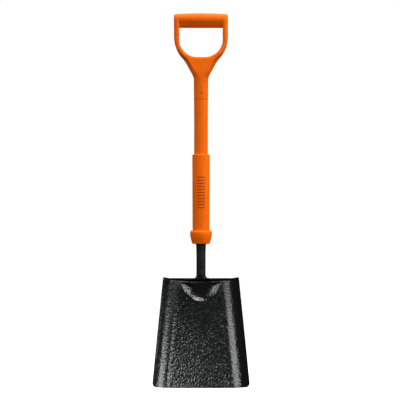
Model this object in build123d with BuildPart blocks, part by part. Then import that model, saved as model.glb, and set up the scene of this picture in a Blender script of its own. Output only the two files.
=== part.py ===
"""Insulated square-mouth digging shovel, in millimetres.

It stands upright: +Z runs up the shaft, the blade's hollow face looks towards -Y and the blade
leans forward. The origin is the hang point, under the middle of the grip bar.
"""

from build123d import *
import math
import os

os.makedirs("parts", exist_ok=True)

# ---------------------------------------------------------------- driving dimensions

# D-handle
grip_width = 143.2            # over the two arms
grip_top = 39.0               # top of the bar at its middle
bar_radius = 16.6             # upper round of the bar at its middle
bar_crown = 2.4               # how much smaller that round is at the ends
bar_end_radius = 5.0
bar_low_radius = 8.5          # lower round of the bar, where the fingers curl
bar_centre = 22.4             # height of the middle of the upper round
hole_half_width = 57.5
hole_depth = 77.9
hole_low_radius = 47.7
hole_rim_radius = 6.0
socket_end = -191.0
socket_end_radius = 18.9
socket_edge = 0.2             # small chamfer at the socket's open end
throat_end = -139.0
throat_end_radius = 19.3
throat_ledge = 0.3            # how far the moulding stands out over the socket's top

# Shaft
tube_radius = 15.0
tube_bore_radius = 11.0
tube_top = -120.0
tube_bottom = -562.0
cover_top_radius = 18.8
cover_low_radius = 18.3
cover_taper_end = -255.0      # straight from here to the sleeve, where a rack's clip holds it
cover_seat_radius = 18.0      # under the sleeve and the collar
cover_bottom = -553.0
tang_top = -388.0
plug_bottom = -137.0
plug_head = 3.0
handle_pin_height = -174.5
handle_pin_radius = 2.5
handle_pin_half_length = 17.8
handle_pin_chamfer = 0.5

# Hand sleeve and collar
sleeve_top = -335.0
sleeve_bottom = -536.0
sleeve_top_radius = 23.3
sleeve_low_radius = 22.5
sleeve_top_round = 2.4
sleeve_low_round = 0.6
collar_bottom = -571.5
collar_top_round = 5.5
collar_low_round = 2.6
collar_radius = 29.1
seal_radius = 15.6
seal_top = -566.0
seal_lip = 1.8                # how far the seal shows under the collar
seal_bevel = 0.8
panel_middle = -436.0
panel_width = 20.0
panel_rib_pitch = 8.0
panel_rib_count = 11
panel_depth = 1.1

# Neck
neck_top_radius = 13.3
neck_radius = 12.35
neck_taper_end = -600.0       # where the bar reaches its smaller radius
neck_bend_start = -630.0      # where the round bar starts to bend back to the palm
tang_point = 4.0              # length and depth of the tang's pointed end
palm_length = 92.0
palm_gap = 0.1
palm_weld_leg = 4.0
weld_seat_half_width = 32.0   # the shallow seat in the lip that the neck's weld fills
weld_seat_depth = 0.6
rivet_radius = 3.0
rivet_heights = (-430.0, -510.0)

# Blade, measured in its own directions: across, along from the fold, and out of its face
blade_lean = 16.0             # degrees that the blade leans forward from the shaft
blade_fold_y = 4.0
blade_fold_z = -667.7
blade_length = 286.5
blade_top_half_width = 99.0
blade_mouth_half_width = 126.5
blade_thickness = 2.0
blade_side_band = 44.0        # width of each turned-up side
side_rise_top = 22.0
side_rise_mouth = 20.0
dish_rise = 4.5
lip_reach = 14.0
ear_rise = 2.0                # how far the lip's ears stand over the turned-up sides
mouth_corner_radius = 12.0
bowl_half_width = 67.0
bowl_length = 57.0
bowl_depth = 10.0
bowl_floor_half_width = 26.0
bowl_floor_length = 51.0

# Cutting shapes only have to reach well past the metal they cut
past_handle = 30.0
past_blade = 60.0

lean = math.radians(blade_lean)


# ---------------------------------------------------------------- blade geometry

out_of_face = (0, -math.cos(lean), math.sin(lean))
along_blade = (0, -math.sin(lean), -math.cos(lean))


def blade_point(across, along, out):
    """A point given in the blade's directions, in the shovel's frame."""
    y = blade_fold_y - out * math.cos(lean) - along * math.sin(lean)
    z = blade_fold_z + out * math.sin(lean) - along * math.cos(lean)
    return (across, y, z)


def blade_plane(along):
    """The plane across the blade at a distance from the fold: x across, y out of the face."""
    return Plane(origin=blade_point(0, along, 0), x_dir=(1, 0, 0), z_dir=along_blade)


def smooth(value):
    """An even step from 0 to 1."""
    value = min(max(value, 0.0), 1.0)
    return value * value * (3 - 2 * value)


def half_width(along):
    share = along / blade_length
    return blade_top_half_width + share * (blade_mouth_half_width - blade_top_half_width)


def bowl(across, along):
    """How far the bowl is pressed back at a point of the sheet."""
    round_end = 1 - (along / bowl_length) ** 2
    if round_end <= 0:
        return 0.0
    rim = bowl_half_width * math.sqrt(round_end)
    floor = bowl_floor_half_width * max(1 - along / bowl_floor_length, 0.0)
    floor = min(floor, rim * 0.9)
    wall = smooth((abs(across) - floor) / (rim - floor))
    return bowl_depth * round_end**0.7 * (1 - wall)


def face_height(across, along):
    """Height of the blade's front face: dished, with turned-up sides and the bowl."""
    edge = half_width(along)
    share = along / blade_length
    rise = side_rise_top + share * (side_rise_mouth - side_rise_top) - dish_rise
    into_side = max(abs(across) - (edge - blade_side_band), 0.0) / blade_side_band
    dish = dish_rise * (across / edge) ** 2
    return dish + rise * into_side**2 - bowl(across, along)


def front_points(along, lift=0.0):
    """The front face's profile across the blade, moved out by lift."""
    edge = half_width(along)
    shares = [2 * step / profile_steps - 1 for step in range(profile_steps + 1)]
    return [(edge * share, face_height(edge * share, along) + lift) for share in shares]


def back_points(along, thickness):
    """The profile behind the front face, at the sheet's thickness measured across its slope."""
    points = []
    for across, height in front_points(along):
        slope = face_height(across + 0.5, along) - face_height(across - 0.5, along)
        points.append((across, height - thickness * min(math.hypot(1, slope), slope_limit)))
    return points


# sections of the sheet: close together down the bowl, then wide apart
profile_steps = 24
slope_limit = 1.35            # the bowl's steep wall is drawn thinner when it is pressed
sheet_stations = [0, 10, 20, 28, 35, 41, 46, 50, 53, 55.5, bowl_length, 100, 160, 220, blade_length]

# ---------------------------------------------------------------- blade

with BuildPart() as mouth_corners:
    radius = mouth_corner_radius
    centre_x = blade_mouth_half_width - radius
    centre_y = radius - blade_length
    behind = blade_point(0, 0, -past_blade / 2)
    mouth_plane = Plane(origin=behind, x_dir=(1, 0, 0), z_dir=out_of_face)
    with BuildSketch(mouth_plane):
        for side in (-1, 1):
            with Locations((side * (centre_x + radius), centre_y - radius)):
                Rectangle(2 * radius, 2 * radius)
            with Locations((side * centre_x, centre_y)):
                Circle(radius, mode=Mode.SUBTRACT)
    extrude(amount=past_blade)



def lip_sketch():
    """The lip turned forward along the blade's top, rising to a small ear at each corner."""
    front = front_points(0)
    back = back_points(0, blade_thickness)
    rim = [(across, max(lip_reach, height + ear_rise)) for across, height in front]
    with BuildSketch(blade_plane(-blade_thickness)) as outline:
        with BuildLine():
            Spline(*back)
            Line(back[-1], rim[-1])
            Polyline(*rim[::-1])
            Line(rim[0], back[0])
        make_face()
    return outline.sketch


with BuildPart() as weld_seat:
    add(lip_sketch())
    extrude(amount=weld_seat_depth, dir=along_blade)
    with BuildSketch(blade_plane(-blade_thickness)):
        Rectangle(2 * weld_seat_half_width, 2 * past_blade)
    extrude(amount=weld_seat_depth, mode=Mode.INTERSECT)

with BuildPart() as blade:
    for station in sheet_stations:
        front = front_points(station)
        back = back_points(station, blade_thickness)
        with BuildSketch(blade_plane(station)):
            with BuildLine():
                Spline(*front)
                Line(front[-1], back[-1])
                Spline(*back[::-1])
                Line(back[0], front[0])
            make_face()
    loft(ruled=True)
    add(lip_sketch())
    extrude(amount=blade_thickness, dir=along_blade)
    add(weld_seat.part, mode=Mode.SUBTRACT)
    add(mouth_corners.part, mode=Mode.SUBTRACT)
blade.part.label = "blade"
export_step(blade.part, "parts/blade.step")

# ---------------------------------------------------------------- neck with its palm and tang

# the sheet, the lip and all that is in front of them: what is behind the blade stops here
with BuildPart() as front_space:
    for station in [-blade_thickness - palm_gap] + sheet_stations:
        depth = blade_thickness + palm_gap
        back = back_points(max(station, 0), depth)
        front = front_points(max(station, 0), lift=past_blade)
        with BuildSketch(blade_plane(station)):
            with BuildLine():
                Spline(*front)
                Line(front[-1], back[-1])
                Spline(*back[::-1])
                Line(back[0], front[0])
            make_face()
    loft(ruled=True)

# sections of the palm: distance along the blade, half width, and how far behind the face's
# plane the section starts and ends
palm_corner_share = 0.45
palm_stations = [
    (-2, 15.0, 5, 28.5),
    (0, 15.5, 4, 29),
    (20, 20.0, 2, 24),
    (45, 19.5, -2, 16),
    (70, 15.0, -3, 9),
    (palm_length, 9.0, -3, 5),
]


def palm_sketch(station, wider=0.0, thinner=0.0):
    """One section of the palm behind the blade, as a rounded rectangle."""
    along, half, near, far = station
    size = far - thinner - near
    to_shaft = (0, math.sin(lean), math.cos(lean))
    section_plane = Plane(origin=blade_point(0, along, 0), x_dir=(1, 0, 0), z_dir=to_shaft)
    with BuildSketch(section_plane) as section:
        with Locations((0, near + size / 2)):
            RectangleRounded(2 * (half + wider), size, min(size, half) * palm_corner_share)
    return section.sketch


with BuildPart() as palm:
    for station in palm_stations:
        add(palm_sketch(station))
    loft(ruled=True)

# sections of the bend between bar and palm: height, shift backwards, half width, half depth
bend_stations = [
    (neck_bend_start, 0, neck_radius, neck_radius),
    (neck_bend_start - 18, 2.0, neck_radius, neck_radius + 1.0),
    (neck_bend_start - 28, 5.0, neck_radius + 0.3, neck_radius + 3.0),
]

with BuildPart() as neck:
    for height, shift, half_x, half_y in bend_stations:
        with BuildSketch(Plane.XY.offset(height)):
            with Locations((0, shift)):
                Ellipse(half_x, half_y)
    add(palm_sketch(palm_stations[1]))
    loft()
    add(palm.part)
    add(front_space.part, mode=Mode.SUBTRACT)
    # the round bar up to the collar, then the tang inside the tube
    with BuildSketch(Plane.XZ):
        with BuildLine():
            Polyline(
                (0, neck_bend_start),
                (neck_radius, neck_bend_start),
                (neck_radius, neck_taper_end),
                (neck_top_radius, collar_bottom),
                (neck_top_radius, tube_bottom),
                (tube_bore_radius, tube_bottom),
                (tube_bore_radius, tang_top - tang_point),
                (tube_bore_radius - tang_point, tang_top),
                (0, tang_top),
                close=True,
            )
        make_face()
    revolve(axis=Axis.Z)
    for height in rivet_heights:
        with BuildSketch(Plane.YZ.offset(-tube_radius)):
            with Locations((0, height)):
                Circle(rivet_radius)
        extrude(amount=2 * tube_radius, mode=Mode.SUBTRACT)
neck.part.label = "neck"
export_step(neck.part, "parts/neck.step")


# ---------------------------------------------------------------- welds

# sections of the seam round the neck's foot: height over the lip, half width, half depth
weld_stations = [(0, 31.0, 11.5), (2.0, 19.0, 11.5), (4.5, 14.8, 11.0), (11.0, 12.2, 9.0)]
weld_centre = 2.0             # how far in front of the fold the seam's middle is
with BuildPart() as neck_weld:
    for height, half, depth in weld_stations:
        with BuildSketch(blade_plane(-blade_thickness - height)):
            with Locations((0, weld_centre)):
                Ellipse(half, depth)
    loft(ruled=True)
    add(weld_seat.part)
    add(neck.part, mode=Mode.SUBTRACT)
neck_weld.part.label = "neck_weld"
export_step(neck_weld.part, "parts/neck_weld.step")

# the seam round the palm behind the blade
with BuildPart() as palm_weld:
    for station in palm_stations:
        add(palm_sketch(station, wider=palm_weld_leg, thinner=palm_weld_leg))
    loft(ruled=True)
    add(front_space.part, mode=Mode.SUBTRACT)
    add(neck.part, mode=Mode.SUBTRACT)
palm_weld.part.label = "palm_weld"
export_step(palm_weld.part, "parts/palm_weld.step")

# ---------------------------------------------------------------- shaft


def turned(outline):
    """A sketch of a half profile in the XZ plane, for turning about the shaft's axis."""
    with BuildSketch(Plane.XZ) as half:
        with BuildLine():
            Polyline(*outline, close=True)
        make_face()
    return half.sketch


with BuildPart() as shaft_tube:
    with BuildSketch(Plane.XY.offset(tube_bottom)):
        Circle(tube_radius)
        Circle(tube_bore_radius, mode=Mode.SUBTRACT)
    extrude(amount=tube_top - tube_bottom)
    for height in rivet_heights:
        with BuildSketch(Plane.YZ.offset(-tube_radius)):
            with Locations((0, height)):
                Circle(rivet_radius)
        extrude(amount=2 * tube_radius, mode=Mode.SUBTRACT)
    with BuildSketch(Plane.XZ.offset(-tube_radius)):
        with Locations((0, handle_pin_height)):
            Circle(handle_pin_radius)
    extrude(amount=2 * tube_radius, mode=Mode.SUBTRACT)
shaft_tube.part.label = "shaft_tube"
export_step(shaft_tube.part, "parts/shaft_tube.step")

with BuildPart() as tang_rivets:
    for height in rivet_heights:
        with BuildSketch(Plane.YZ.offset(-tube_radius)):
            with Locations((0, height)):
                Circle(rivet_radius)
        extrude(amount=2 * tube_radius)
    with BuildSketch(Plane.XY.offset(tube_bottom)):
        Circle(tube_radius)
    extrude(amount=tube_top - tube_bottom, mode=Mode.INTERSECT)
tang_rivets.part.label = "tang_rivets"
export_step(tang_rivets.part, "parts/tang_rivets.step")

with BuildPart() as tube_filler:
    with BuildSketch(Plane.XY.offset(tang_top)):
        Circle(tube_bore_radius)
    extrude(amount=plug_bottom - tang_top)
    with BuildSketch(Plane.XZ.offset(-tube_radius)):
        with Locations((0, handle_pin_height)):
            Circle(handle_pin_radius)
    extrude(amount=2 * tube_radius, mode=Mode.SUBTRACT)
tube_filler.part.label = "tube_filler"
export_step(tube_filler.part, "parts/tube_filler.step")

with BuildPart() as tube_plug:
    with BuildSketch(Plane.XY.offset(plug_bottom)):
        Circle(tube_bore_radius)
    extrude(amount=tube_top - plug_bottom)
    with BuildSketch(Plane.XY.offset(tube_top)):
        Circle(tube_radius)
    extrude(amount=plug_head)
tube_plug.part.label = "tube_plug"
export_step(tube_plug.part, "parts/tube_plug.step")

with BuildPart() as shaft_cover:
    add(
        turned(
            [
                (tube_radius, cover_bottom),
                (cover_seat_radius, cover_bottom),
                (cover_seat_radius, sleeve_top),
                (cover_low_radius, sleeve_top),
                (cover_low_radius, cover_taper_end),
                (cover_top_radius, socket_end),
                (tube_radius, socket_end),
            ]
        )
    )
    revolve(axis=Axis.Z)
shaft_cover.part.label = "shaft_cover"
export_step(shaft_cover.part, "parts/shaft_cover.step")

# ---------------------------------------------------------------- hand sleeve, collar and seal

# the grooves of the ribbed panel on the sleeve's front
with BuildPart() as panel_grooves:
    floor_radius = (sleeve_top_radius + sleeve_low_radius) / 2 - panel_depth
    with BuildSketch(Plane.XZ.offset(floor_radius / 2)):
        with Locations((0, panel_middle)):
            with GridLocations(0, panel_rib_pitch, 1, panel_rib_count):
                RectangleRounded(panel_width, panel_rib_pitch / 2, panel_rib_pitch / 5)
    extrude(amount=floor_radius)
    with BuildSketch(Plane.XY.offset(sleeve_bottom)):
        Circle(floor_radius)
    extrude(amount=sleeve_top - sleeve_bottom, mode=Mode.SUBTRACT)

with BuildPart() as grip_sleeve:
    add(
        turned(
            [
                (cover_seat_radius, sleeve_bottom),
                (sleeve_low_radius, sleeve_bottom),
                (sleeve_top_radius, sleeve_top),
                (cover_seat_radius, sleeve_top),
            ]
        )
    )
    revolve(axis=Axis.Z)
    rims = grip_sleeve.edges().filter_by(GeomType.CIRCLE).group_by(Axis.Z)
    fillet(rims[-1].sort_by(SortBy.RADIUS)[-1], sleeve_top_round)
    fillet(rims[0].sort_by(SortBy.RADIUS)[-1], sleeve_low_round)
    add(panel_grooves.part, mode=Mode.SUBTRACT)
grip_sleeve.part.label = "grip_sleeve"
export_step(grip_sleeve.part, "parts/grip_sleeve.step")

# the collar's outline from its top edge down: depth under the sleeve, and how much smaller
collar_outline = [(0, 0.3), (10, 0), (18, 1.0), (32, 4.7), (sleeve_bottom - collar_bottom, 5.4)]

with BuildPart() as collar:
    add(
        turned(
            [(cover_seat_radius, sleeve_bottom)]
            + [(collar_radius - smaller, sleeve_bottom - depth) for depth, smaller in collar_outline]
            + [
                (seal_radius, collar_bottom),
                (seal_radius, seal_top),
                (neck_top_radius, seal_top),
                (neck_top_radius, tube_bottom),
                (tube_radius, tube_bottom),
                (tube_radius, cover_bottom),
                (cover_seat_radius, cover_bottom),
            ]
        )
    )
    revolve(axis=Axis.Z)
    rims = collar.edges().filter_by(GeomType.CIRCLE).group_by(Axis.Z)
    fillet(rims[-1].sort_by(SortBy.RADIUS)[-1], collar_top_round)
    rims = collar.edges().filter_by(GeomType.CIRCLE).group_by(Axis.Z)
    fillet(rims[0].sort_by(SortBy.RADIUS)[-1], collar_low_round)
collar.part.label = "collar"
export_step(collar.part, "parts/collar.step")

with BuildPart() as neck_seal:
    add(
        turned(
            [
                (neck_top_radius, collar_bottom - seal_lip),
                (seal_radius - seal_bevel, collar_bottom - seal_lip),
                (seal_radius, collar_bottom - seal_lip + seal_bevel),
                (seal_radius, seal_top),
                (neck_top_radius, seal_top),
            ]
        )
    )
    revolve(axis=Axis.Z)
    add(neck.part, mode=Mode.SUBTRACT)
neck_seal.part.label = "neck_seal"
export_step(neck_seal.part, "parts/neck_seal.step")

# ---------------------------------------------------------------- D-handle

# sections of the handle's body: height, half width, half depth, corner radius
handle_stations = [
    (
        throat_end,
        throat_end_radius + throat_ledge,
        throat_end_radius + throat_ledge,
        throat_end_radius,
    ),
    (-128, 21.2, 19.0, 17),
    (-118, 26.3, 18.3, 14.5),
    (-97, 37.8, 16.5, 12),
    (-86, 44.9, 15.6, 11),
    (-75, 54.2, 14.8, 10.5),
    (-60, 63.2, 14.2, 10),
    (-44, 68.9, 14.0, 9.5),
    (-26, 71.5, 14.2, 9.5),
    (0, grip_width / 2, 15.0, 9.5),
    (bar_centre, grip_width / 2, 15.8, 9.5),
]

# the flanks of the throat, cut back at a slant on both faces: half width of the moulding, height,
# and how far the cut reaches in at flank_front_depth
flank_middle_depth = 2.0
flank_front_depth = 20.0
flank_far = 80.0
flank_stations = [
    (66.6, -52, 0),
    (54.4, -75, 12.0),
    (45.1, -86, 14.5),
    (38.0, -97, 12.5),
    (26.5, -118, 7.0),
    (20.5, -131, 0),
]


def flank_outline(side, cut_share):
    """The region outside a flank, seen from the front, at a share of the cut's full reach."""
    points = [(side * (half_x - cut_share * cut), height) for half_x, height, cut in flank_stations]
    with BuildLine() as outline:
        Spline(*points)
        Polyline(
            points[-1],
            (side * flank_far, points[-1][1]),
            (side * flank_far, points[0][1]),
            points[0],
        )
    return outline.line


with BuildPart() as flanks:
    for side in (-1, 1):
        for face in (-1, 1):
            for depth, cut_share in ((flank_middle_depth, 0), (flank_front_depth, 1)):
                with BuildSketch(Plane.XZ.offset(face * depth)):
                    add(flank_outline(side, cut_share))
                    make_face()
            loft(ruled=True)

with BuildPart() as handle_body:
    for height, half_x, half_y, round_off in handle_stations:
        with BuildSketch(Plane.XY.offset(height)):
            RectangleRounded(2 * half_x, 2 * half_y, round_off)
    loft()
    add(flanks.part, mode=Mode.SUBTRACT)
    # the hand hole, with rounded rims
    with BuildSketch(Plane.XZ.offset(-past_handle)):
        low = hole_low_radius
        with BuildLine():
            Line((-hole_half_width, bar_centre), (-hole_half_width, low - hole_depth))
            RadiusArc((-hole_half_width, low - hole_depth), (low - hole_half_width, -hole_depth), -low)
            Line((low - hole_half_width, -hole_depth), (hole_half_width - low, -hole_depth))
            RadiusArc((hole_half_width - low, -hole_depth), (hole_half_width, low - hole_depth), -low)
            Line((hole_half_width, low - hole_depth), (hole_half_width, bar_centre))
            Line((hole_half_width, bar_centre), (-hole_half_width, bar_centre))
        make_face()
    extrude(amount=2 * past_handle, mode=Mode.SUBTRACT)
    rims = [
        edge
        for edge in handle_body.edges()
        if abs(edge.center().Y) > hole_rim_radius
        and -hole_depth - 1 < edge.center().Z < bar_centre - 1
        and abs(edge.center().X) < hole_half_width + 1
    ]
    fillet(rims, hole_rim_radius)

# the grip bar: a full round above that narrows to a finger round below, slightly barrelled
with BuildPart() as grip_bar:
    for across, smaller in ((-grip_width / 2, bar_crown), (0, 0), (grip_width / 2, bar_crown)):
        with BuildSketch(Plane.YZ.offset(across)):
            with Locations((0, bar_centre)):
                Circle(bar_radius - smaller)
            with Locations((0, bar_low_radius)):
                Circle(bar_low_radius)
            make_hull()
    loft()
    bar_ends = [edge for edge in grip_bar.edges() if edge.bounding_box().size.X < 1]
    fillet(bar_ends, bar_end_radius)

with BuildPart() as d_handle:
    add(handle_body.part)
    add(grip_bar.part)
    add(
        turned(
            [
                (0, throat_end),
                (throat_end_radius, throat_end),
                (socket_end_radius, socket_end + socket_edge),
                (socket_end_radius - socket_edge, socket_end),
                (0, socket_end),
            ]
        )
    )
    revolve(axis=Axis.Z)
    with BuildSketch(Plane.XY.offset(socket_end)):
        Circle(tube_radius)
    extrude(amount=tube_top + plug_head - socket_end, mode=Mode.SUBTRACT)
    with BuildSketch(Plane.XZ.offset(-past_handle)):
        with Locations((0, handle_pin_height)):
            Circle(handle_pin_radius)
    extrude(amount=2 * past_handle, mode=Mode.SUBTRACT)
d_handle.part.label = "d_handle"
export_step(d_handle.part, "parts/d_handle.step")

with BuildPart() as handle_pin:
    with BuildSketch(Plane.XZ.offset(-handle_pin_half_length)):
        with Locations((0, handle_pin_height)):
            Circle(handle_pin_radius)
    extrude(amount=2 * handle_pin_half_length)
    chamfer(handle_pin.edges().filter_by(GeomType.CIRCLE), handle_pin_chamfer)
handle_pin.part.label = "handle_pin"
export_step(handle_pin.part, "parts/handle_pin.step")
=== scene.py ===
import math

import bpy
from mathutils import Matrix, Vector, noise


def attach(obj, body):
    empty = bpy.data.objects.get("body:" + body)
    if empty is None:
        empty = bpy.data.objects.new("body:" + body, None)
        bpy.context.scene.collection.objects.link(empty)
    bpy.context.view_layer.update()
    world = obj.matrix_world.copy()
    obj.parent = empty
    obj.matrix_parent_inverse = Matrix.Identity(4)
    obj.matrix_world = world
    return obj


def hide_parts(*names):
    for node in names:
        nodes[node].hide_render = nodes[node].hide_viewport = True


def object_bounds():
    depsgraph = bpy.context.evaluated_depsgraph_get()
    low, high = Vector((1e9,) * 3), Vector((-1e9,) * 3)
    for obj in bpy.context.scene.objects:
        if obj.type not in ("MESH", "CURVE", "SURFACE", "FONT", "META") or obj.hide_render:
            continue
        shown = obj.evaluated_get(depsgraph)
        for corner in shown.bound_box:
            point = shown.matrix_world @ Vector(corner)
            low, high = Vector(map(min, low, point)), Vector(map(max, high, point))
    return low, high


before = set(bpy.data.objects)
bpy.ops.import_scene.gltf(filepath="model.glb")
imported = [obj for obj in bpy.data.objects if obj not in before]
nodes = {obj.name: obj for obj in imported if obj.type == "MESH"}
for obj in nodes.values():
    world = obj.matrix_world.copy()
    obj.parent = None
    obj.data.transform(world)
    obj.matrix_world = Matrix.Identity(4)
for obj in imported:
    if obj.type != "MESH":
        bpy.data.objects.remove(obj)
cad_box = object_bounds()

scene = bpy.context.scene

# ------------------------------------------------------------------ sizes, in metres

MM = 0.001

# blade: the CAD's own dimensions, with the length, the mouth, the lip and its ears drawn in
# by 0.2 to 1.1 mm, so that the hammer texture stays inside the CAD model's box
BLADE_LEAN = math.radians(16.0)
FOLD_Y = 4.0 * MM
FOLD_Z = -667.7 * MM
BLADE_LENGTH = 285.9 * MM
TOP_HALF_WIDTH = 99.0 * MM
MOUTH_HALF_WIDTH = 125.4 * MM
MOUTH_CORNER = 12.0 * MM
SHEET = 2.0 * MM
SIDE_BAND = 44.0 * MM
SIDE_RISE_TOP = 22.0 * MM
SIDE_RISE_MOUTH = 20.0 * MM
DISH_RISE = 4.5 * MM
LIP_REACH = 13.8 * MM
EAR_RISE = 1.0 * MM
FOLD_RADIUS = 4.0 * MM

# bowl under the neck: it gets shallow towards its round end by this power
BOWL_HALF_WIDTH = 67.0 * MM
BOWL_LENGTH = 57.0 * MM
BOWL_DEPTH = 10.0 * MM
BOWL_END_POWER = 0.7
BOWL_FLOOR_HALF_WIDTH = 26.0 * MM
BOWL_FLOOR_LENGTH = 51.0 * MM
BOWL_FLOOR_MOST = 0.9

# hammer paint: pools on a noise lattice that is turned and climbs, so no rows show, and a
# slow ripple of the pressing, given in noise cells per metre across and along
HAMMER_PITCH = 3.0 * MM
HAMMER_DEPTH = 0.28 * MM
HAMMER_TURN = math.radians(31.0)
HAMMER_CLIMB_ACROSS = 0.6
HAMMER_CLIMB_ALONG = 0.45
RIPPLE_ACROSS = 14
RIPPLE_ALONG = 11
RIPPLE_SLICE = 0.3
RIPPLE_DEPTH = 0.35 * MM

# blade mesh: how finely it is divided, and the rounding of its cut edges
BLADE_COLUMNS = 200
LIP_STEPS = 6
FOLD_STEPS = 6
CORNER_STEPS = 14
ROW_PITCH = 1.2 * MM
EDGE_ROUNDING = 0.6 * MM
EDGE_SEGMENTS = 3
EDGE_ANGLE = math.radians(50)

# remeshed pieces: CAD faces closer than this are joined first, and the handle's socket
# keeps its sharp end below this height
WELD_GAP = 0.01 * MM
SOCKET_CRISP_HEIGHT = -180.0 * MM

# ribbed panel on the sleeve: its floors get painted shade, a darker orange standing in for the
# shade in the recesses, and this painted shade fades out between these two heights above them
PANEL_MIDDLE = -436.0 * MM
PANEL_HALF_LENGTH = 46.0 * MM
PANEL_FLOOR_RADIUS = 21.8 * MM
GROOVE_FADE_START = 0.1 * MM
GROOVE_FADE_END = 0.5 * MM
# colour of the painted shade on the groove floors
GROOVE_PAINTED_SHADE = (0.56, 0.082, 0.001)

# studio: the floor lies well below the shovel and glows, so no shadow shows on it
FLOOR_DROP = 0.35
FLOOR_HALF_SIZE = 30.0
FLOOR_GREY = 0.9
FLOOR_ROUGHNESS = 0.9
AMBIENT_STRENGTH = 0.05

# camera: it looks straight along +Y at a point a little below and left of the box's middle
CAMERA_LENS_MM = 108.7
CAMERA_DISTANCE = 3.2
CAMERA_LEFT = 2.6 * MM
CAMERA_DROP = 3.375 * MM
CAMERA_REACH = 100

# softboxes: name, place, height aimed at on the shaft's axis, width and height, watts.
# The large high ones light the orange. The small low ones stand where the black blade mirrors
# them: its left side mirrors those on the right, and its right side those on the left.
SOFTBOXES = [
    ("overhead", (0.35, 0.1, 1.8), -0.3, (2.4, 1.8), 82),
    ("high_right", (2.5, -0.85, 1.6), -0.4, (2.4, 1.9), 102),
    ("high_left", (-2.5, -1.1, 1.7), -0.4, (2.4, 1.8), 52),
    ("bowl_right", (1.2, -1.85, 0.45), -0.7, (0.7, 0.5), 0.8),
    ("key_right", (1.5, -1.65, -0.45), -0.8, (0.9, 0.5), 7.5),
    ("fill_left", (-1.0, -2.02, -0.06), -0.8, (1.2, 0.45), 7),
    ("fill_left_high", (-0.85, -2.1, 0.45), -0.7, (0.8, 0.5), 1.4),
    ("front_low", (0.42, -2.3, -0.1), -0.8, (0.5, 0.4), 3.6),
    ("side_right", (2.3, -0.5, -0.7), -0.8, (0.5, 0.5), 1.5),
    ("back", (-0.7, 2.6, 0.2), -0.5, (2.2, 1.8), 30),
]


# ------------------------------------------------------------------ small tools


def link(obj):
    """Put an object into the scene."""
    scene.collection.objects.link(obj)
    return obj


def shade_smooth(mesh):
    for polygon in mesh.polygons:
        polygon.use_smooth = True


def mesh_object(name, points, faces):
    mesh = bpy.data.meshes.new(name)
    mesh.from_pydata(points, [], faces)
    mesh.validate()
    shade_smooth(mesh)
    return link(bpy.data.objects.new(name, mesh))


def copy_of(node, name):
    """A free copy of a CAD node's mesh, to be worked on as a piece."""
    obj = bpy.data.objects.new(name, nodes[node].data.copy())
    obj.data.name = name
    return link(obj)


def apply_modifiers(obj):
    """Turn the object's modifiers into plain mesh."""
    depsgraph = bpy.context.evaluated_depsgraph_get()
    mesh = bpy.data.meshes.new_from_object(obj.evaluated_get(depsgraph))
    obj.modifiers.clear()
    obj.data = mesh
    shade_smooth(mesh)


def remeshed(node, name, voxel, smoothing, crisp_below=None):
    """A copy of a CAD node with its hard joins flowed together, as a moulding or forging has.

    Below the height crisp_below, where one is given, the edges stay as sharp as the CAD's.
    """
    obj = copy_of(node, name)
    weld = obj.modifiers.new("weld", "WELD")
    weld.merge_threshold = WELD_GAP
    remesh = obj.modifiers.new("remesh", "REMESH")
    remesh.mode = "VOXEL"
    remesh.voxel_size = voxel
    apply_modifiers(obj)
    group = obj.vertex_groups.new(name="flowed")
    flowed = [v.index for v in obj.data.vertices if crisp_below is None or v.co.z > crisp_below]
    group.add(flowed, 1.0, "REPLACE")
    smooth = obj.modifiers.new("smooth", "SMOOTH")
    smooth.factor = 0.5
    smooth.iterations = smoothing
    smooth.vertex_group = group.name
    apply_modifiers(obj)
    return obj


def set_material(mesh, material):
    mesh.materials.clear()
    mesh.materials.append(material)


def finish_piece(obj, material, node):
    """Give a piece its material, and put it in the place of its CAD node."""
    set_material(obj.data, material)
    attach(obj, "root")
    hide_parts(node)


# ------------------------------------------------------------------ materials


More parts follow.
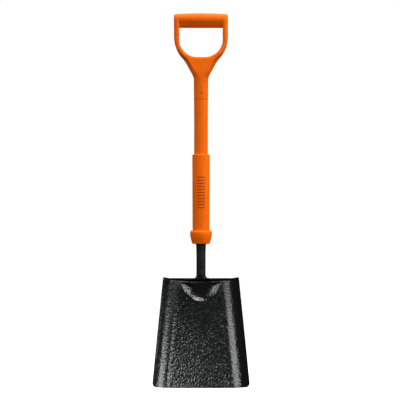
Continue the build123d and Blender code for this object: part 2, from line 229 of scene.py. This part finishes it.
class Surface:
    """A material with a Principled shader, built up by short calls."""

    def __init__(self, name, roughness, specular=0.5, metallic=0.0, coat=0.0, coat_roughness=0.1):
        self.material = bpy.data.materials.new(name)
        self.material.use_nodes = True
        self.tree = self.material.node_tree
        self.shader = self.tree.nodes["Principled BSDF"]
        self.shader.inputs["Roughness"].default_value = roughness
        self.shader.inputs["Specular IOR Level"].default_value = specular
        self.shader.inputs["Metallic"].default_value = metallic
        self.shader.inputs["Coat Weight"].default_value = coat
        self.shader.inputs["Coat Roughness"].default_value = coat_roughness
        self.coordinates = self.add("ShaderNodeTexCoord").outputs["Object"]

    def add(self, kind, **settings):
        node = self.tree.nodes.new(kind)
        for key, value in settings.items():
            setattr(node, key, value)
        return node

    def join(self, source, target):
        self.tree.links.new(source, target)

    def noise(self, size, detail=2.0, roughness=0.5, stretch=(1, 1, 1)):
        """Noise whose features are about size metres across."""
        mapping = self.add("ShaderNodeMapping")
        mapping.inputs["Scale"].default_value = stretch
        self.join(self.coordinates, mapping.inputs["Vector"])
        texture = self.add("ShaderNodeTexNoise")
        texture.inputs["Scale"].default_value = 1 / size
        texture.inputs["Detail"].default_value = detail
        texture.inputs["Roughness"].default_value = roughness
        self.join(mapping.outputs["Vector"], texture.inputs["Vector"])
        return texture.outputs["Fac"]

    def cells(self, size):
        """Rounded cells about size metres across."""
        texture = self.add("ShaderNodeTexVoronoi")
        texture.inputs["Scale"].default_value = 1 / size
        self.join(self.coordinates, texture.inputs["Vector"])
        return texture.outputs["Distance"]

    def blend(self, source, first, second, start=0.3, end=0.7):
        """A colour or grey that goes from first to second as the source goes from start to end."""
        node = self.add("ShaderNodeValToRGB")
        for element, position, tone in zip(node.color_ramp.elements, (start, end), (first, second)):
            element.position = position
            element.color = (*tone, 1) if isinstance(tone, tuple) else (tone, tone, tone, 1)
        self.join(source, node.inputs["Fac"])
        return node.outputs["Color"]

    def bump(self, source, height, over=None):
        """Relief of the given height in metres, over another relief where one is given."""
        node = self.add("ShaderNodeBump")
        node.inputs["Strength"].default_value = 1.0
        node.inputs["Distance"].default_value = height
        self.join(source, node.inputs["Height"])
        if over is not None:
            self.join(over, node.inputs["Normal"])
        return node.outputs["Normal"]

    def colour(self, source):
        self.join(source, self.shader.inputs["Base Color"])

    def roughness(self, source):
        self.join(source, self.shader.inputs["Roughness"])

    def normal(self, source):
        self.join(source, self.shader.inputs["Normal"])


def groove_shade_mask(surface):
    """1 on the floors of the sleeve's ribbed panel, where the painted shade goes, 0 everywhere
    else.
    """
    flat = surface.add("ShaderNodeVectorMath", operation="MULTIPLY")
    flat.inputs[1].default_value = (1, 1, 0)
    surface.join(surface.coordinates, flat.inputs[0])
    radius = surface.add("ShaderNodeVectorMath", operation="LENGTH")
    surface.join(flat.outputs["Vector"], radius.inputs[0])
    depth = surface.add("ShaderNodeMapRange")
    depth.inputs["From Min"].default_value = PANEL_FLOOR_RADIUS + GROOVE_FADE_END
    depth.inputs["From Max"].default_value = PANEL_FLOOR_RADIUS + GROOVE_FADE_START
    surface.join(radius.outputs["Value"], depth.inputs["Value"])
    split = surface.add("ShaderNodeSeparateXYZ")
    surface.join(surface.coordinates, split.inputs["Vector"])
    inside = surface.add("ShaderNodeMath", operation="COMPARE")
    inside.inputs[1].default_value = PANEL_MIDDLE
    inside.inputs[2].default_value = PANEL_HALF_LENGTH
    surface.join(split.outputs["Z"], inside.inputs[0])
    both = surface.add("ShaderNodeMath", operation="MULTIPLY")
    surface.join(depth.outputs["Result"], both.inputs[0])
    surface.join(inside.outputs["Value"], both.inputs[1])
    return both.outputs["Value"]


def orange_plastic(name, tone_and_painted_light=1.0, grain=0.45 * MM, lengthwise=False, painted_groove_shade=False):
    """Satin moulded polypropylene with a fine spark texture and slightly uneven colour."""
    surface = Surface(name, roughness=0.5, specular=0.08)
    stretch = (1, 1, 0.25) if lengthwise else (1, 1, 1)
    drift = surface.noise(size=50 * MM, detail=3.0, stretch=stretch)
    # painted light: this multiplier makes brighter copies of the same orange for the sleeve and the
    # collar, standing in for light on them; the handle's darker copy is its own deeper tone
    deep = (0.78 * tone_and_painted_light, 0.122 * tone_and_painted_light, 0.0005)
    light = (0.87 * tone_and_painted_light, 0.142 * tone_and_painted_light, 0.001)
    tone = surface.blend(drift, deep, light)
    # painted shade: the panel's groove floors are mixed towards a darker orange, standing in for
    # the shade in the recesses
    if painted_groove_shade:
        groove_shaded = surface.add("ShaderNodeMix", data_type="RGBA")
        groove_shaded.inputs["B"].default_value = (*GROOVE_PAINTED_SHADE, 1)
        surface.join(groove_shade_mask(surface), groove_shaded.inputs["Factor"])
        surface.join(tone, groove_shaded.inputs["A"])
        tone = groove_shaded.outputs["Result"]
    surface.colour(tone)
    rub = surface.noise(size=12 * MM, detail=4.0, roughness=0.6)
    surface.roughness(surface.blend(rub, 0.46, 0.58, start=0.25, end=0.75))
    flow = surface.bump(surface.noise(size=18 * MM), height=0.15 * MM)
    surface.normal(surface.bump(surface.noise(grain, detail=1.0), height=0.03 * MM, over=flow))
    return surface.material


def hammer_paint():
    """Gloss black paint with a fine ripple. Its pools are in the blade's mesh."""
    surface = Surface("hammer_paint", roughness=0.14, specular=0.8, coat=0.25, coat_roughness=0.09)
    drift = surface.noise(size=20 * MM, detail=3.0)
    surface.colour(surface.blend(drift, (0.0015, 0.0015, 0.0016), (0.004, 0.004, 0.0042)))
    surface.roughness(surface.blend(surface.noise(size=8 * MM, detail=3.0), 0.11, 0.18))
    surface.normal(surface.bump(surface.noise(size=3.5 * MM, detail=1.0), height=0.1 * MM))
    return surface.material


def satin_black(name, lump):
    """Thin satin black paint over a forged or welded surface, with lumps of the given height."""
    surface = Surface(name, roughness=0.36, specular=0.15)
    drift = surface.noise(size=15 * MM, detail=4.0)
    surface.colour(surface.blend(drift, (0.008, 0.008, 0.0085), (0.018, 0.018, 0.019)))
    surface.roughness(surface.blend(surface.noise(size=6 * MM, detail=4.0), 0.30, 0.42))
    scale = surface.bump(surface.noise(size=9 * MM, detail=4.0, roughness=0.6), height=lump)
    surface.normal(surface.bump(surface.noise(size=1.2 * MM), height=0.1 * MM, over=scale))
    return surface.material


def black_rubber():
    surface = Surface("seal_rubber", roughness=0.75, specular=0.3)
    surface.colour(surface.blend(surface.noise(size=10 * MM), 0.012, 0.022))
    surface.normal(surface.bump(surface.noise(size=0.8 * MM), height=0.05 * MM))
    return surface.material


def glass_fibre():
    """Pultruded tube with fine straight fibres along it."""
    surface = Surface("glass_fibre", roughness=0.5, specular=0.4)
    fibres = surface.noise(size=1.2 * MM, detail=3.0, stretch=(1, 1, 0.03))
    surface.colour(surface.blend(fibres, (0.42, 0.38, 0.20), (0.66, 0.62, 0.42)))
    surface.normal(surface.bump(fibres, height=0.1 * MM))
    return surface.material


def plain_steel():
    """Bright rivet steel with faint uneven marks."""
    surface = Surface("rivet_steel", roughness=0.35, metallic=1.0)
    marks = surface.noise(size=2 * MM, detail=3.0, stretch=(1, 1, 0.2))
    surface.colour(surface.blend(marks, 0.42, 0.6))
    surface.roughness(surface.blend(marks, 0.28, 0.45))
    return surface.material


def foam():
    surface = Surface("foam", roughness=0.9, specular=0.2)
    cell = surface.cells(size=1.5 * MM)
    surface.colour(surface.blend(cell, (0.70, 0.66, 0.50), (0.86, 0.83, 0.70), start=0.1))
    surface.normal(surface.bump(cell, height=0.4 * MM))
    return surface.material


def grey_plastic():
    surface = Surface("plug_plastic", roughness=0.5, specular=0.4)
    surface.colour(surface.blend(surface.noise(size=10 * MM), 0.11, 0.15))
    surface.normal(surface.bump(surface.noise(size=0.6 * MM), height=0.03 * MM))
    return surface.material


# ------------------------------------------------------------------ blade


def blade_point(across, along, out):
    """A point given across, along and out of the blade's face, in the shovel's frame."""
    y = FOLD_Y - out * math.cos(BLADE_LEAN) - along * math.sin(BLADE_LEAN)
    z = FOLD_Z + out * math.sin(BLADE_LEAN) - along * math.cos(BLADE_LEAN)
    return (across, y, z)


def smooth_step(value):
    """0 up to 0, 1 from 1 on, and a soft curve between them."""
    value = min(max(value, 0.0), 1.0)
    return value * value * (3 - 2 * value)


def straight_half_width(along):
    """Half the blade's width, as if its sides ran straight on to the mouth."""
    return TOP_HALF_WIDTH + along / BLADE_LENGTH * (MOUTH_HALF_WIDTH - TOP_HALF_WIDTH)


def half_width(along):
    """Half the blade's width, drawn in round the mouth's corners."""
    past = along - (BLADE_LENGTH - MOUTH_CORNER)
    if past <= 0:
        return straight_half_width(along)
    inset = math.sqrt(max(MOUTH_CORNER**2 - past**2, 0.0))
    return straight_half_width(along) - MOUTH_CORNER + inset


def bowl(across, along):
    """How far the bowl is pressed back: a flat floor, soft walls and a round lower end."""
    round_end = 1 - (along / BOWL_LENGTH) ** 2
    if round_end <= 0:
        return 0.0
    rim = BOWL_HALF_WIDTH * math.sqrt(round_end)
    floor = BOWL_FLOOR_HALF_WIDTH * max(1 - along / BOWL_FLOOR_LENGTH, 0.0)
    floor = min(floor, rim * BOWL_FLOOR_MOST)
    wall = smooth_step((abs(across) - floor) / (rim - floor))
    return BOWL_DEPTH * round_end**BOWL_END_POWER * (1 - wall)


def face_height(across, along):
    """Height of the blade's front face: dished, with turned-up sides and the bowl."""
    edge = straight_half_width(along)
    share = along / BLADE_LENGTH
    rise = SIDE_RISE_TOP + share * (SIDE_RISE_MOUTH - SIDE_RISE_TOP) - DISH_RISE
    into_side = max(abs(across) - (edge - SIDE_BAND), 0.0) / SIDE_BAND
    dish = DISH_RISE * (across / edge) ** 2
    return dish + rise * into_side**2 - bowl(across, along)


def hammer_height(across, along):
    """Height of the hammer paint's pools, on a lattice turned away from the blade's own rows."""
    turned_x = across * math.cos(HAMMER_TURN) - along * math.sin(HAMMER_TURN)
    turned_y = across * math.sin(HAMMER_TURN) + along * math.cos(HAMMER_TURN)
    climb = across * HAMMER_CLIMB_ACROSS - along * HAMMER_CLIMB_ALONG
    return noise.noise(Vector((turned_x, turned_y, climb)) / HAMMER_PITCH) * HAMMER_DEPTH


def ripple_height(across, along):
    """Height of the pressing's slow ripple."""
    place = Vector((across * RIPPLE_ACROSS, along * RIPPLE_ALONG, RIPPLE_SLICE))
    return noise.noise(place) * RIPPLE_DEPTH


def lip_place(across, step):
    """How far along and out a point of the lip is, in steps from its free edge."""
    base = face_height(across, FOLD_RADIUS) + FOLD_RADIUS
    reach = max(LIP_REACH, base + EAR_RISE)
    return 0, reach + (base - reach) * step / LIP_STEPS


def fold_place(across, step):
    """How far along and out a point of the fold is, in steps from the lip to the face."""
    turn = math.pi / 2 * (1 - step / FOLD_STEPS)
    out = face_height(across, FOLD_RADIUS) + FOLD_RADIUS * (1 - math.cos(turn))
    return FOLD_RADIUS * (1 - math.sin(turn)), out


def sheet_place(across, along):
    """How far along and out a point of the face is, with its ripple and its paint."""
    relief = ripple_height(across, along) + hammer_height(across, along)
    return along, face_height(across, along) + relief


def sheet_stations():
    """Distances down the face: evenly spaced, then closing up round the mouth's corners."""
    straight = BLADE_LENGTH - MOUTH_CORNER - FOLD_RADIUS
    count = round(straight / ROW_PITCH)
    stations = [FOLD_RADIUS + straight * step / count for step in range(count)]
    for step in range(CORNER_STEPS + 1):
        angle = math.pi / 2 * step / CORNER_STEPS
        stations.append(BLADE_LENGTH - MOUTH_CORNER + MOUTH_CORNER * math.sin(angle))
    return stations


def blade_row(half, place, station):
    """One row of points across the blade. place says how far along and out each one is."""
    row = []
    for column in range(BLADE_COLUMNS + 1):
        across = (2 * column / BLADE_COLUMNS - 1) * half
        row.append(blade_point(across, *place(across, station)))
    return row


def make_blade(material):
    """The blade: its front face in rows from the lip to the mouth, thickened to the back."""
    rows = [blade_row(TOP_HALF_WIDTH, lip_place, step) for step in range(LIP_STEPS)]
    rows += [blade_row(TOP_HALF_WIDTH, fold_place, step) for step in range(FOLD_STEPS)]
    rows += [blade_row(half_width(along), sheet_place, along) for along in sheet_stations()]
    points = [point for row in rows for point in row]
    width = BLADE_COLUMNS + 1
    faces = []
    for row in range(len(rows) - 1):
        for column in range(BLADE_COLUMNS):
            corner = row * width + column
            faces.append((corner, corner + width, corner + width + 1, corner + 1))
    obj = mesh_object("blade_pressing", points, faces)
    sheet = obj.modifiers.new("sheet", "SOLIDIFY")
    sheet.thickness = SHEET
    sheet.offset = -1
    sheet.use_even_offset = True
    edge = obj.modifiers.new("edge", "BEVEL")
    edge.width = EDGE_ROUNDING
    edge.segments = EDGE_SEGMENTS
    edge.limit_method = "ANGLE"
    edge.angle_limit = EDGE_ANGLE
    apply_modifiers(obj)
    finish_piece(obj, material, "blade")


# ------------------------------------------------------------------ floor, world, lights, camera


def make_floor(height):
    """A pale floor that glows evenly and leaves the shovel's light alone."""
    corners = ((-1, -1), (1, -1), (1, 1), (-1, 1))
    points = [(x * FLOOR_HALF_SIZE, y * FLOOR_HALF_SIZE, height) for x, y in corners]
    floor = mesh_object("floor", points, [(0, 1, 2, 3)])
    material = bpy.data.materials.new("pale_floor")
    material.use_nodes = True
    shader = material.node_tree.nodes["Principled BSDF"]
    shader.inputs["Base Color"].default_value = (FLOOR_GREY, FLOOR_GREY, FLOOR_GREY, 1)
    shader.inputs["Roughness"].default_value = FLOOR_ROUGHNESS
    shader.inputs["Emission Color"].default_value = (1, 1, 1, 1)
    shader.inputs["Emission Strength"].default_value = 1.0
    set_material(floor.data, material)
    floor.visible_glossy = False
    floor.visible_diffuse = False


def make_world():
    """White where the camera looks past the shovel, and a faint grey for its light."""
    world = bpy.data.worlds.new("studio")
    scene.world = world
    world.use_nodes = True
    tree = world.node_tree
    tree.nodes.clear()
    path = tree.nodes.new("ShaderNodeLightPath")
    chooser = tree.nodes.new("ShaderNodeMixShader")
    output = tree.nodes.new("ShaderNodeOutputWorld")
    tree.links.new(path.outputs["Is Camera Ray"], chooser.inputs["Fac"])
    for socket, strength in ((1, AMBIENT_STRENGTH), (2, 1.0)):
        background = tree.nodes.new("ShaderNodeBackground")
        background.inputs["Color"].default_value = (1, 1, 1, 1)
        background.inputs["Strength"].default_value = strength
        tree.links.new(background.outputs["Background"], chooser.inputs[socket])
    tree.links.new(chooser.outputs["Shader"], output.inputs["Surface"])


def aim(obj, place, target):
    """Put a light or the camera at a place, looking at a target."""
    obj.location = place
    obj.rotation_euler = (Vector(target) - Vector(place)).to_track_quat("-Z", "Y").to_euler()


def softbox(name, place, target, size, power):
    light = bpy.data.lights.new(name, "AREA")
    light.shape = "RECTANGLE"
    light.size, light.size_y = size
    light.energy = power
    aim(link(bpy.data.objects.new(name, light)), place, target)


def make_camera(middle_z):
    """The camera in front of the shovel's hollow face, level with its middle."""
    camera_data = bpy.data.cameras.new("camera")
    camera_data.lens = CAMERA_LENS_MM
    camera_data.clip_end = CAMERA_REACH
    camera = link(bpy.data.objects.new("camera", camera_data))
    target = Vector((-CAMERA_LEFT, 0, middle_z - CAMERA_DROP))
    aim(camera, target + Vector((0, -CAMERA_DISTANCE, 0)), target)
    scene.camera = camera


# ------------------------------------------------------------------ the shovel in its studio

# one orange plastic in several copies: the handle's is a deeper tone, and the sleeve's and collar's
# brighter copies below are painted light
orange_handle = orange_plastic("orange_handle", tone_and_painted_light=0.93)
cad_materials = {
    "shaft_cover": orange_plastic("orange_shaft", lengthwise=True),
    # the sleeve's groove floors get painted shade
    "grip_sleeve": orange_plastic(
        "orange_sleeve", tone_and_painted_light=1.09, grain=0.8 * MM, lengthwise=True, painted_groove_shade=True
    ),
    "collar": orange_plastic("orange_collar", tone_and_painted_light=1.14),
    "neck_seal": black_rubber(),
    "shaft_tube": glass_fibre(),
    "tang_rivets": plain_steel(),
    "tube_filler": foam(),
    "tube_plug": grey_plastic(),
    "handle_pin": orange_handle,
}
for node_name, material in cad_materials.items():
    set_material(nodes[node_name].data, material)

make_blade(hammer_paint())

handle = remeshed(
    "d_handle", "handle_moulding", voxel=0.9 * MM, smoothing=9, crisp_below=SOCKET_CRISP_HEIGHT
)
finish_piece(handle, orange_handle, "d_handle")

neck = remeshed("neck", "neck_forging", voxel=1.2 * MM, smoothing=6)
finish_piece(neck, satin_black("forged_black", lump=0.3 * MM), "neck")

welded_black = satin_black("welded_black", lump=1.2 * MM)
for weld_node in ("neck_weld", "palm_weld"):
    bead = remeshed(weld_node, weld_node + "_bead", voxel=0.8 * MM, smoothing=3)
    finish_piece(bead, welded_black, weld_node)

lowest_z = cad_box[0][2]
highest_z = cad_box[1][2]
make_floor(lowest_z - FLOOR_DROP)
make_world()
for light_name, light_place, aim_z, light_size, watts in SOFTBOXES:
    softbox(light_name, light_place, (0, 0, aim_z), light_size, watts)
make_camera((lowest_z + highest_z) / 2)
scene.view_settings.view_transform = "Standard"
